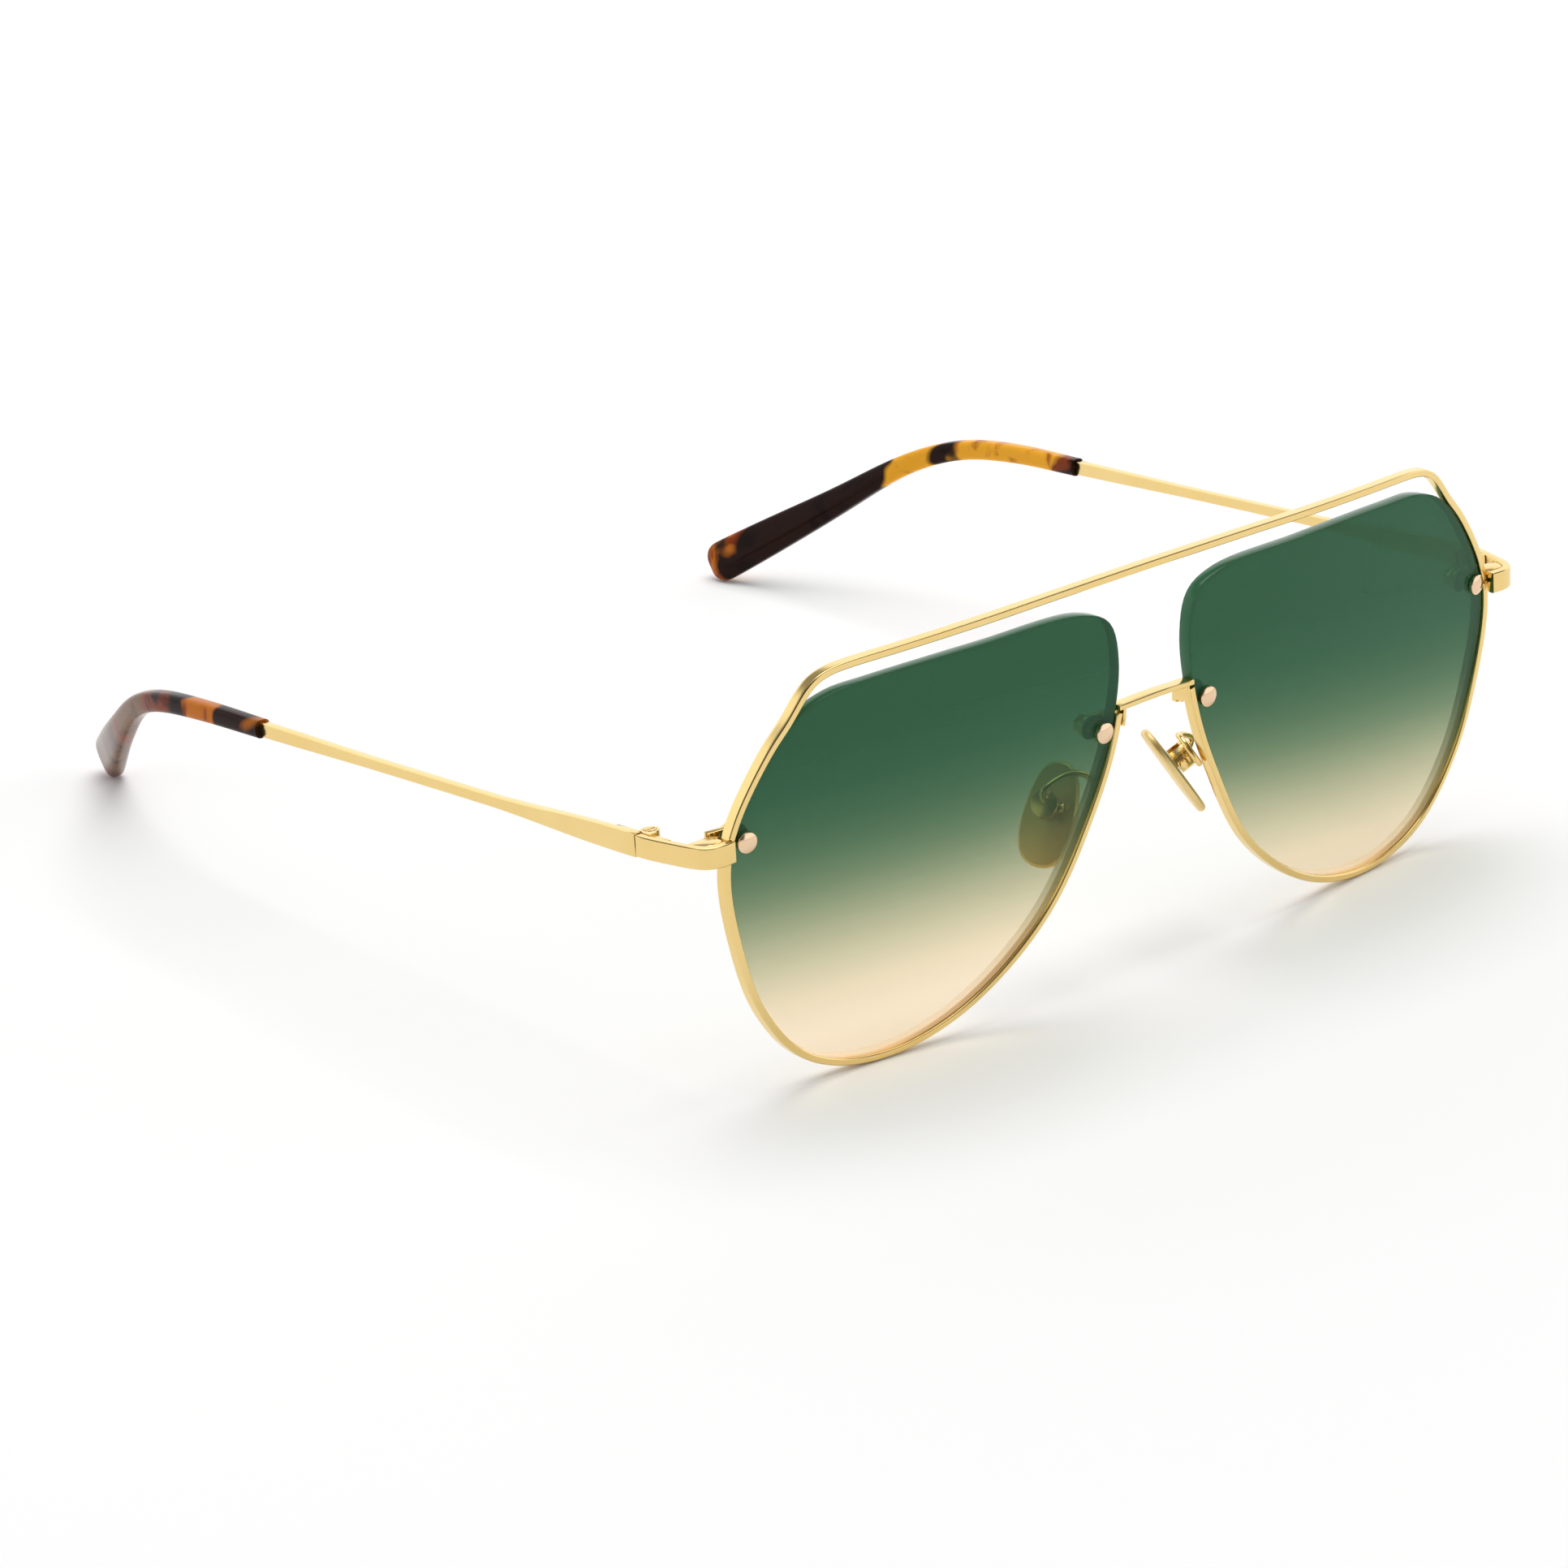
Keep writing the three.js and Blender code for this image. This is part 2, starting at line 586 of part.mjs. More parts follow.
// A flat strap that tapers to a slim bar and runs on inside the tip as a round core.
function temple() {
  const centre = STRAP_OUTER_FACE - STRAP_THICKNESS / 2;
  const stations = [JOINT_GAP, TEMPLE_TAPER_START, 10, 14, 18, 22, 26, TEMPLE_TAPER_END, 40, TEMPLE_FLARE_START, 57, 64, 71, TIP_MOUTH - SOLDER_GAP];
  const section = strapSection(STRAP_THICKNESS, 1, 0.05);
  const bar = bentStock(section, stations.length - 1, (t, a, b) => {
    const y = stations[Math.round(t * (stations.length - 1))];
    const taper = THREE.MathUtils.smoothstep(y, TEMPLE_TAPER_START, TEMPLE_TAPER_END);
    const flare = THREE.MathUtils.smoothstep(y, TEMPLE_FLARE_START, TIP_MOUTH);
    const slim = THREE.MathUtils.lerp(TEMPLE_HEIGHT, TEMPLE_THIN_HEIGHT, taper);
    const height = THREE.MathUtils.lerp(slim, TEMPLE_MOUTH_HEIGHT, flare);
    return new THREE.Vector3(centre + a, y, b * height);
  });
  const spigot = placedAt(turned([[CORE_RADIUS, -1], [CORE_RADIUS, 1]], 8), new THREE.Vector3(0, 0, 0));
  const alongY = placed(
    spigot,
    new THREE.Vector3(1, 0, 0),
    new THREE.Vector3(0, 0, 1),
    new THREE.Vector3(0, -1, 0),
    new THREE.Vector3(TIP_PATH[0][0], TIP_MOUTH, 0),
  );
  return onHinge(join(bar, alongY, core(CORE_RADIUS, 0, CORE_END)));
}

// How thick (a) and how deep (b) the tip is, from its mouth to its rounded end.
function tipSize(t) {
  const thick = 2.4 + 0.6 * t;
  const deep = 2.5 + 1.2 * t + 2.5 * THREE.MathUtils.smoothstep(t, 0.45, 1);
  const rounding = 0.035;
  const toEnd = Math.min(1, (1 - t) / rounding);
  const close = Math.sqrt(Math.max(0.09, 1 - (1 - toEnd) ** 2));
  return [thick * close, deep * close ** 0.6];
}

// A square with well rounded corners and slightly swollen sides, one millimetre across.
function mouldedSection(sides) {
  const fullness = 2 / 3.2; // 1 is a circle, 0 a square
  const corners = [];
  for (let i = 0; i < sides; i += 1) {
    const angle = (2 * Math.PI * (i + 0.5)) / sides;
    const across = Math.sign(Math.cos(angle)) * Math.abs(Math.cos(angle)) ** fullness;
    const up = Math.sign(Math.sin(angle)) * Math.abs(Math.sin(angle)) ** fullness;
    corners.push(new THREE.Vector2(across / 2, up / 2));
  }
  return new THREE.Shape(corners);
}

function templeTip() {
  const stations = [];
  for (let t = 0; t < 0.92; t += 0.05) stations.push(t);
  stations.push(0.935, 0.965, 0.975, 0.985, 0.994, 1);
  const body = bentStock(mouldedSection(20), stations.length - 1, (s, a, b) => {
    const t = stations[Math.round(s * (stations.length - 1))];
    const [thick, deep] = tipSize(t);
    return onTip(t, a * thick, b * deep);
  });
  const boreRadius = CORE_RADIUS + SOLDER_GAP;
  const mouth = placed(
    turned([[boreRadius, -1], [boreRadius, 1]], 8),
    new THREE.Vector3(1, 0, 0),
    new THREE.Vector3(0, 0, 1),
    new THREE.Vector3(0, -1, 0),
    new THREE.Vector3(TIP_PATH[0][0], TIP_MOUTH, 0),
  );
  return onHinge(cut(body, core(boreRadius, 0, CORE_END + 0.004), mouth));
}

// ---- Nose pads -----------------------------------------------------------------------------

// The pad's frame: origin on its pivot, +X down along the pad, +Y along the pivot, +Z to the nose.
function onPad(solid) {
  return placed(solid, PAD_DOWN, PAD_FACING.clone().cross(PAD_DOWN), PAD_FACING, PAD_PIVOT);
}

function alongPivot(solid) {
  return placed(
    solid,
    new THREE.Vector3(1, 0, 0),
    new THREE.Vector3(0, 0, -1),
    new THREE.Vector3(0, 1, 0),
    new THREE.Vector3(0, 0, 0),
  );
}

function nosePad() {
  const outline = new THREE.Shape();
  const length = PAD_LENGTH / 2;
  const width = PAD_WIDTH / 2;
  outline.moveTo(-length, 0);
  outline.bezierCurveTo(-length, -0.75 * width, -0.55 * length, -0.9 * width, 0.1 * length, -width);
  outline.bezierCurveTo(0.65 * length, -1.05 * width, length, -0.75 * width, length, 0);
  outline.bezierCurveTo(length, 0.75 * width, 0.65 * length, 1.05 * width, 0.1 * length, width);
  outline.bezierCurveTo(-0.55 * length, 0.9 * width, -length, 0.75 * width, -length, 0);
  const bevel = 0.3;
  const face = new THREE.ExtrudeGeometry(outline, {
    depth: PAD_THICKNESS - 2 * bevel,
    bevelThickness: bevel,
    bevelSize: bevel,
    bevelOffset: -bevel,
    bevelSegments: 1,
    curveSegments: 7,
  });
  face.translate(PAD_DROP, 0, PAD_STAND_OFF + bevel);
  const lug = alongPivot(turned([[PAD_LUG_RADIUS, -PAD_LUG_WIDTH / 2], [PAD_LUG_RADIUS, PAD_LUG_WIDTH / 2]], 16));
  const neckHeight = PAD_STAND_OFF + 0.3;
  const neck = block(1.5 * PAD_LUG_RADIUS, PAD_LUG_WIDTH, neckHeight, 0, 0, neckHeight / 2);
  return onPad(cut(join(solidOf(face), lug, neck), alongPivot(bore(PAD_PIN_RADIUS + RUNNING_GAP, -2, 2))));
}

// A round box on the end of the arm, slotted for the pad's lug.
function padBox() {
  const body = turned([[PAD_BOX_RADIUS, PAD_BOX_BACK], [PAD_BOX_RADIUS, PAD_BOX_FRONT]], 24);
  const slotFloor = -PAD_LUG_RADIUS - 0.1;
  const slotHeight = 4;
  const slot = block(5, PAD_LUG_WIDTH + 0.12, slotHeight, 0, 0, slotFloor + slotHeight / 2);
  return onPad(cut(body, slot, alongPivot(bore(PAD_PIN_RADIUS + SOLDER_GAP, -3, 3))));
}

function padScrew() {
  const headBase = PAD_BOX_RADIUS + SOLDER_GAP;
  const profile = [
    [PAD_PIN_RADIUS, -PAD_BOX_RADIUS],
    [PAD_PIN_RADIUS, headBase],
    [0.65, headBase],
    [0.65, headBase + 0.4],
  ];
  return onPad(alongPivot(turned(profile, 14)));
}

// A wire soldered along the nose side of the rim, which loops up and back and down to the box.
function padArm() {
  const offset = 3 * SOLDER_GAP + WIRE_WIDTH + ARM_RADIUS;
  const foot = [-13.5, -12, -10.5, -9].map((height) => {
    const point = besideLens(noseSideStep(height), offset);
    point.y = frontSurface(point.x, point.z) + 0.75;
    return point;
  });
  const boxBack = PAD_PIVOT.clone().addScaledVector(PAD_FACING, PAD_BOX_BACK - 5 * SOLDER_GAP);
  const landing = boxBack.clone().addScaledVector(PAD_DOWN, -0.3);
  const path = new THREE.CatmullRomCurve3(
    [
      ...foot,
      new THREE.Vector3(8.4, 2.9, -7.4),
      new THREE.Vector3(8.6, 4.6, -6.3),
      new THREE.Vector3(10, 6.6, -6.6),
      landing.clone().addScaledVector(PAD_FACING, -1.1).addScaledVector(PAD_DOWN, -0.9),
      landing,
    ],
    false,
    'centripetal',
  );
  return bentStock(roundSection(ARM_RADIUS, ARM_RADIUS, 8), 24, (t, a, b) => {
    const point = path.getPointAt(t);
    const along = path.getTangentAt(t);
    const side = new THREE.Vector3(0, 1, 0.2).cross(along).normalize();
    return point.addScaledVector(side, a).addScaledVector(along.clone().cross(side), b);
  });
}

// ---- Assembly ------------------------------------------------------------------------------

const glasses = new THREE.Group();

function addMesh(name, geometry, material) {
  const mesh = new THREE.Mesh(geometry, material);
  mesh.name = name;
  geometry.computeVertexNormals();
  glasses.add(mesh);
}

function addPair(name, solid, material) {
  const left = geometryOf(solid);
  const right = left.clone();
  right.scale(-1, 1, 1);
  const turnedInside = Array.from(right.index.array).reverse();
  right.setIndex(turnedInside);
  addMesh(`${name}_left`, left, material());
  addMesh(`${name}_right`, right, material());
}

addMesh('brow_wire', geometryOf(browWire()), gold());
addMesh('bridge', geometryOf(bridge()), gold());
addPair('rim', rim(), gold);
addPair('end_piece', endPiece(), gold);
addPair('rim_lock', rimLock(), gold);
addPair('rim_lock_screw', rimLockScrew(), gold);
addPair('lens', lens(), lensTint);
addPair('lens_tab_temple', templeTab(), gold);
addPair('lens_tab_nose', noseTab(), gold);
addPair('lens_screw_temple', lensScrew(TEMPLE_SCREW), roseGold);
addPair('lens_screw_nose', lensScrew(NOSE_SCREW), roseGold);
addPair('lens_bushing_temple', bushing(TEMPLE_SCREW), clearPlastic);
addPair('lens_bushing_nose', bushing(NOSE_SCREW), clearPlastic);
addPair('lens_nut_temple', nut(TEMPLE_SCREW), gold);
addPair('lens_nut_nose', nut(NOSE_SCREW), gold);
addPair('hinge_front_leaf', frontLeaf(), gold);
addPair('hinge_temple_leaf', templeLeaf(), gold);
addPair('hinge_screw', hingeScrew(), gold);
addPair('temple', temple(), gold);
addPair('temple_tip', templeTip(), tortoiseshell);
addPair('pad_arm', padArm(), gold);
addPair('pad_box', padBox(), gold);
addPair('pad_screw', padScrew(), gold);
addPair('nose_pad', nosePad(), gold);

// Stand the glasses on the table, with the origin under the middle of their footprint.
glasses.rotation.x = -REST_TILT;
glasses.updateMatrixWorld(true);
const extent = new THREE.Box3().setFromObject(glasses, true);
glasses.position.set(0, -(extent.min.y + extent.max.y) / 2, -extent.min.z);

export default glasses;
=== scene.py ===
# %% [markdown]
# # Aviator sunglasses
# The engineering model of the glasses is loaded first and stays fixed. Every visible piece is then
# made around it: the wires, the small hardware, the tips and the nose pads are refined copies of
# its own meshes, the lenses and the lens screws are modelled by hand, and each finish is a node
# material.
#
# Blender works in metres. The front of the glasses was designed upright and then leans back a
# little, so that rims and tips touch the table: FRONT turns a place on the front into the scene.

import json
import math

import bpy
from mathutils import Matrix, Vector


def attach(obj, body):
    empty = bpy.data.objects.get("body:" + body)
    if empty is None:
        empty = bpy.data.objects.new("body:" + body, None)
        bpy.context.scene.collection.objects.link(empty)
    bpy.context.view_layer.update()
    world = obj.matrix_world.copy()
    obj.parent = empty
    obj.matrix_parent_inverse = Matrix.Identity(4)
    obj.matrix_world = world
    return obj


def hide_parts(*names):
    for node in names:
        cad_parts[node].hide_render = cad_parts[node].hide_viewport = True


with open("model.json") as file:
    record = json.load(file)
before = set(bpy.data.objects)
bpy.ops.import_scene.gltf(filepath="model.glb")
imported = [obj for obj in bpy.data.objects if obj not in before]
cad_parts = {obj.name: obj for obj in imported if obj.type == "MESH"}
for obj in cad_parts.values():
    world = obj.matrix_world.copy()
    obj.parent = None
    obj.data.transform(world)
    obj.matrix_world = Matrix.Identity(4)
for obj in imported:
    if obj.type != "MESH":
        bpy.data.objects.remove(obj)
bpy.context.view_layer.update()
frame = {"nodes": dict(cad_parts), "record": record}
MM = 0.001
FRONT_PLACE = (0, -0.0769072, 0.0354081)
FRONT_LEAN = math.radians(-1.948)
FRONT = Matrix.Translation(FRONT_PLACE) @ Matrix.Rotation(FRONT_LEAN, 4, "X")
SIDES = {"left": 1, "right": -1}

# %% [markdown]
# ## Working on one piece at a time
# An operator acts on everything that is selected, and loading leaves all the nodes selected. So
# each step first deselects everything and then picks the one object it works on.


# %% Helpers: pick, apply, select, hand over
def deselect():
    for other in bpy.context.selected_objects:
        other.select_set(False)


def pick(piece):
    deselect()
    piece.select_set(True)
    bpy.context.view_layer.objects.active = piece


def apply_modifiers(piece):
    pick(piece)
    for modifier in list(piece.modifiers):
        bpy.ops.object.modifier_apply(modifier=modifier.name)


def select_faces(piece, wanted):
    """In edit mode, selects the faces for which wanted(face) is true."""
    bpy.ops.mesh.select_all(action="DESELECT")
    bpy.ops.mesh.select_mode(type="FACE")
    bpy.ops.object.mode_set(mode="OBJECT")
    for face in piece.data.polygons:
        face.select = wanted(face)
    bpy.ops.object.mode_set(mode="EDIT")


def add_bevel(piece, width, segments, angle):
    edge = piece.modifiers.new("edge", "BEVEL")
    edge.width = width * MM
    edge.segments = segments
    edge.limit_method = "ANGLE"
    edge.angle_limit = math.radians(angle)
    return edge


def hand_over(piece, name, body, material, replaced):
    """Names a finished piece, gives it its finish and makes it move with its body."""
    piece.name = name
    piece.data.name = name
    piece.data.materials.clear()
    piece.data.materials.append(material)
    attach(piece, body)
    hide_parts(*replaced)


def body_of_node(node):
    for body, members in frame["record"]["behaviour"]["bodies"].items():
        if node in members:
            return body
    raise ValueError(node)


# %% [markdown]
# ## Finishes: plated metal
# The frame is polished wire with thin pale gold plating. A mirror metal shows only what is around
# it, so the colour is the plating's own and the life comes from very small changes in roughness
# and a faint grain left by polishing. The screw heads are rosier, and the pads are satin.


# %% Metal materials
def new_material(name):
    material = bpy.data.materials.new(name)
    material.use_nodes = True
    nodes = material.node_tree.nodes
    return material, nodes, material.node_tree.links, nodes["Principled BSDF"]


def add(nodes, kind, **settings):
    node = nodes.new(kind)
    for key, value in settings.items():
        if key.startswith("in_"):
            name = key[3:].replace("_", " ")
            node.inputs[name].default_value = value
        else:
            setattr(node, key, value)
    return node


CLOUD_SCALE, GRAIN_SCALE = 55.0, 2400.0  # patches of about 2 cm, a grain of about 0.4 mm


def plated_metal(name, bright, deep, roughness, grain):
    material, nodes, links, shader = new_material(name)
    place = add(nodes, "ShaderNodeTexCoord")
    clouds = add(nodes, "ShaderNodeTexNoise", in_Scale=CLOUD_SCALE, in_Detail=4.0, in_Roughness=0.55)
    fine = add(nodes, "ShaderNodeTexNoise", in_Scale=GRAIN_SCALE, in_Detail=3.0)
    links.new(place.outputs["Object"], clouds.inputs["Vector"])
    links.new(place.outputs["Object"], fine.inputs["Vector"])
    tone = add(nodes, "ShaderNodeValToRGB")
    tone.color_ramp.elements[0].position = 0.35
    tone.color_ramp.elements[0].color = (*deep, 1)
    tone.color_ramp.elements[1].position = 0.7
    tone.color_ramp.elements[1].color = (*bright, 1)
    links.new(clouds.outputs["Fac"], tone.inputs["Fac"])
    links.new(tone.outputs["Color"], shader.inputs["Base Color"])
    polish = add(nodes, "ShaderNodeMapRange")
    polish.inputs["To Min"].default_value = roughness * 0.8
    polish.inputs["To Max"].default_value = roughness * 1.25
    links.new(fine.outputs["Fac"], polish.inputs["Value"])
    links.new(polish.outputs["Result"], shader.inputs["Roughness"])
    bump = add(nodes, "ShaderNodeBump", in_Strength=grain, in_Distance=0.00001)
    links.new(fine.outputs["Fac"], bump.inputs["Height"])
    links.new(bump.outputs["Normal"], shader.inputs["Normal"])
    shader.inputs["Metallic"].default_value = 1.0
    return material


gold = plated_metal("polished_gold", (0.87, 0.655, 0.285), (0.83, 0.60, 0.235), 0.16, 0.05)
rose = plated_metal("rose_gold", (0.86, 0.64, 0.43), (0.80, 0.57, 0.37), 0.1, 0.03)
satin = plated_metal("satin_gold", (0.88, 0.68, 0.33), (0.82, 0.61, 0.27), 0.42, 0.12)
print("metals:", gold.name, rose.name, satin.name)

# %% [markdown]
# ## Finish: gradient lens
# The lens is clear nylon dipped in dye, dark green at the top and fading to pale peach. Dye only
# filters light, so most of the surface is a Transparent shader with the dye's colour. Light passes
# two surfaces, so each one takes the square root of the colour. The dark top also lets little
# through, so part of the surface there is solid green. A thin gloss lies over both, only on the
# outside. The gradient is set a little higher and slanted in the left lens, so each lens has its own
# material. The cut edge has a denser material, because one looks along the sheet there.

# %% Lens materials
# Height above the table in millimetres, and the colour there.
DYE = [
    (6, (1.0, 0.85, 0.65)),
    (11.3, (0.88, 0.76, 0.55)),
    (15.3, (0.69, 0.64, 0.44)),
    (19.3, (0.50, 0.50, 0.325)),
    (23.3, (0.33, 0.385, 0.235)),
    (27.3, (0.195, 0.285, 0.163)),
    (31.3, (0.116, 0.222, 0.122)),
    (35.3, (0.075, 0.188, 0.096)),
    (39.3, (0.05, 0.166, 0.086)),
    (46, (0.038, 0.150, 0.072)),
]
DYE_LOW, DYE_HIGH = DYE[0][0], DYE[-1][0]
SHINE = 0.3  # a coating takes away most of the reflection, and none is seen from inside the lens
# Height above the table in millimetres, and the share of light that passes there.
FACE_OPENNESS = [(6, 0.98), (20, 0.95), (31, 0.75), (44, 0.45)]
EDGE_OPENNESS = [(6, 0.5), (44, 0.0)]


def dyed_lens(name, drop, slant, clear=True):
    material, nodes, links, shader = new_material(name)
    place = add(nodes, "ShaderNodeTexCoord")
    split = add(nodes, "ShaderNodeSeparateXYZ")
    links.new(place.outputs["Object"], split.inputs["Vector"])
    lean = add(nodes, "ShaderNodeMath", operation="MULTIPLY_ADD")
    lean.inputs[1].default_value = slant
    lean.inputs[2].default_value = drop * MM
    links.new(split.outputs["X"], lean.inputs[0])
    height = add(nodes, "ShaderNodeMath", operation="ADD")
    links.new(split.outputs["Z"], height.inputs[0])
    links.new(lean.outputs["Value"], height.inputs[1])
    depth = add(nodes, "ShaderNodeMapRange")
    depth.inputs["From Min"].default_value = DYE_LOW * MM
    depth.inputs["From Max"].default_value = DYE_HIGH * MM
    links.new(height.outputs["Value"], depth.inputs["Value"])

    def ramp(stops):
        node = add(nodes, "ShaderNodeValToRGB")
        elements = node.color_ramp.elements
        while len(elements) < len(stops):
            elements.new(0.5)
        for element, (at, colour) in zip(elements, stops):
            element.position = (at - DYE_LOW) / (DYE_HIGH - DYE_LOW)
            element.color = (*colour, 1)
        links.new(depth.outputs["Result"], node.inputs["Fac"])
        return node

    dye = ramp(DYE)
    one_side = ramp([(at, tuple(math.sqrt(c) for c in colour)) for at, colour in DYE])
    see_through = FACE_OPENNESS if clear else EDGE_OPENNESS
    openness = ramp([(at, (share,) * 3) for at, share in see_through])
    links.new(dye.outputs["Color"], shader.inputs["Base Color"])
    shader.inputs["Roughness"].default_value = 0.04
    shader.inputs["Specular IOR Level"].default_value = 0.1
    through = add(nodes, "ShaderNodeBsdfTransparent")
    links.new(one_side.outputs["Color"], through.inputs["Color"])
    mix = add(nodes, "ShaderNodeMixShader")
    links.new(openness.outputs["Color"], mix.inputs["Fac"])
    links.new(shader.outputs["BSDF"], mix.inputs[1])
    links.new(through.outputs["BSDF"], mix.inputs[2])
    shine = add(nodes, "ShaderNodeBsdfGlossy", in_Roughness=0.03)
    fresnel = add(nodes, "ShaderNodeFresnel", in_IOR=1.4)
    side = add(nodes, "ShaderNodeNewGeometry")
    outside = add(nodes, "ShaderNodeMath", operation="MULTIPLY_ADD")
    outside.inputs[1].default_value = -SHINE
    outside.inputs[2].default_value = SHINE
    links.new(side.outputs["Backfacing"], outside.inputs[0])
    strength = add(nodes, "ShaderNodeMath", operation="MULTIPLY")
    links.new(fresnel.outputs["Fac"], strength.inputs[0])
    links.new(outside.outputs["Value"], strength.inputs[1])
    coat = add(nodes, "ShaderNodeMixShader")
    links.new(strength.outputs["Value"], coat.inputs["Fac"])
    links.new(mix.outputs["Shader"], coat.inputs[1])
    links.new(shine.outputs["BSDF"], coat.inputs[2])
    links.new(coat.outputs["Shader"], nodes["Material Output"].inputs["Surface"])
    return material


# The left lens has its gradient raised 0.6 mm and slanted; the right lens keeps it as listed.
LENS_GRADIENT_SHIFT = {"left": (0.6, 0.12), "right": (0.0, 0.0)}  # how much higher in mm, and its slant
lens_finish = {side: dyed_lens(f"dyed_lens_{side}", *line) for side, line in LENS_GRADIENT_SHIFT.items()}
edge_finish = {
    side: dyed_lens(f"lens_edge_{side}", *line, clear=False) for side, line in LENS_GRADIENT_SHIFT.items()
}
print("lens finishes:", [m.name for m in (*lens_finish.values(), *edge_finish.values())])

# %% [markdown]
# ## Finish: tortoiseshell
# The tips are mottled acetate: amber with dark brown clouds, polished, with a little light
# scattered inside. Plain noise would put the clouds anywhere, so the colours are bands along the
# tip whose ends are pushed about by noise, and a second noise lays brown smoke over them. A low
# roughness gives the polish. The two tips have different bands.


# %% Tortoiseshell material
def tortoiseshell(name, bands):
    """Bands of colour along the tip: each has where it ends, in millimetres behind the middle."""
    material, nodes, links, shader = new_material(name)
    place = add(nodes, "ShaderNodeTexCoord")
    warp = add(nodes, "ShaderNodeTexNoise", in_Scale=110.0, in_Detail=1.5, in_Distortion=0.6)
    links.new(place.outputs["Object"], warp.inputs["Vector"])
    split = add(nodes, "ShaderNodeSeparateXYZ")
    links.new(place.outputs["Object"], split.inputs["Vector"])
    shifted = add(nodes, "ShaderNodeMath", operation="MULTIPLY_ADD")
    shifted.inputs[1].default_value = WARP
    links.new(warp.outputs["Fac"], shifted.inputs[0])
    links.new(split.outputs["Y"], shifted.inputs[2])
    along = add(nodes, "ShaderNodeMapRange")
    along.inputs["From Min"].default_value = TIP_START * MM + WARP / 2
    along.inputs["From Max"].default_value = TIP_END * MM + WARP / 2
    links.new(shifted.outputs["Value"], along.inputs["Value"])
    clouds = add(nodes, "ShaderNodeValToRGB")
    elements = clouds.color_ramp.elements
    stops = []
    start = TIP_START
    for end, colour in bands:
        stops += [(start + BLUR, colour), (end - BLUR, colour)]
        start = end
    while len(elements) < len(stops):
        elements.new(0.5)
    for element, (at, colour) in zip(elements, stops):
        element.position = (at - TIP_START) / (TIP_END - TIP_START)
        element.color = (*colour, 1)
    links.new(along.outputs["Result"], clouds.inputs["Fac"])
    swirl = add(nodes, "ShaderNodeTexNoise", in_Scale=170.0, in_Detail=3.0, in_Distortion=1.3)
    links.new(place.outputs["Object"], swirl.inputs["Vector"])
    smoke = add(nodes, "ShaderNodeMapRange", interpolation_type="SMOOTHSTEP")
    smoke.inputs["From Min"].default_value = 0.48
    smoke.inputs["From Max"].default_value = 0.66
    links.new(swirl.outputs["Fac"], smoke.inputs["Value"])
    mix = add(nodes, "ShaderNodeMix", data_type="RGBA", blend_type="MULTIPLY")
    links.new(smoke.outputs["Result"], mix.inputs[0])
    links.new(clouds.outputs["Color"], mix.inputs[6])
    mix.inputs[7].default_value = (*SMOKE, 1)
    links.new(mix.outputs[2], shader.inputs["Base Color"])
    shader.inputs["Roughness"].default_value = 0.12
    shader.inputs["Specular IOR Level"].default_value = 0.1
    shader.inputs["Subsurface Weight"].default_value = 0.1
    shader.inputs["Subsurface Radius"].default_value = (1.0, 0.35, 0.08)
    shader.inputs["Subsurface Scale"].default_value = 0.0012
    return material


TIP_START, TIP_END = 14, 79  # millimetres behind the middle
WARP = 0.02  # how far the noise can push a band, in metres from end to end
BLUR = 0.7  # half the width of a border between two bands, in millimetres
SMOKE = (0.42, 0.2, 0.12)  # multiplies the colour inside a swirl
AMBER = (0.82, 0.38, 0.02)
HONEY = (0.52, 0.15, 0.008)
RUST = (0.2, 0.035, 0.005)
TAN = (0.155, 0.066, 0.018)
DARK = (0.016, 0.004, 0.002)
BANDS = {
    "left": [
        (16, DARK), (19, RUST), (37, AMBER), (41, DARK), (49.5, AMBER), (73.5, DARK), (77, HONEY),
        (79, RUST),
    ],
    "right": [
        (16.5, HONEY), (24, DARK), (32, HONEY), (37, DARK), (43, RUST), (56, TAN), (59, RUST),
        (73, TAN), (79, RUST),
    ],
}
tips = {side: tortoiseshell(f"tortoiseshell_{side}", bands) for side, bands in BANDS.items()}
print("tips:", [m.name for m in tips.values()])

# %% [markdown]
# ## Finish: clear bushings
# A short sleeve of clear plastic keeps each metal screw off the lens. Glass would be the exact
# shader, but the sleeves are tiny and mostly seen through the dye, so a plain pale green with
# slight clouds is enough, and it renders without noise.

# %% Bushing material
clear, clear_nodes, clear_links, clear_shader = new_material("clear_bushing")
clear_place = add(clear_nodes, "ShaderNodeTexCoord")
clear_noise = add(clear_nodes, "ShaderNodeTexNoise", in_Scale=900.0, in_Detail=2.0)
clear_links.new(clear_place.outputs["Object"], clear_noise.inputs["Vector"])
clear_tone = add(clear_nodes, "ShaderNodeValToRGB")
clear_tone.color_ramp.elements[0].color = (0.66, 0.78, 0.66, 1)
clear_tone.color_ramp.elements[1].color = (0.76, 0.86, 0.76, 1)
clear_links.new(clear_noise.outputs["Fac"], clear_tone.inputs["Fac"])
clear_links.new(clear_tone.outputs["Color"], clear_shader.inputs["Base Color"])
clear_shader.inputs["Roughness"].default_value = 0.15
print("bushings:", clear.name)

# %% [markdown]
# ## Wires, straps and small hardware
# These pieces already have their true shape in the engineering model, only coarse and with loose
# triangles. So each one is copied, its doubles are merged and its triangles joined to quads. Every
# sharp edge is creased, and a subdivision then rounds the bends but keeps the flat sides flat. A
# small bevel finally breaks the edges, which is what catches the thin dark and light lines.


# %% Refine a copy of a node
MERGE_WITHIN = 0.000002  # metres: only the doubles of one and the same corner
BEVEL_ABOVE = 25  # degrees between two faces


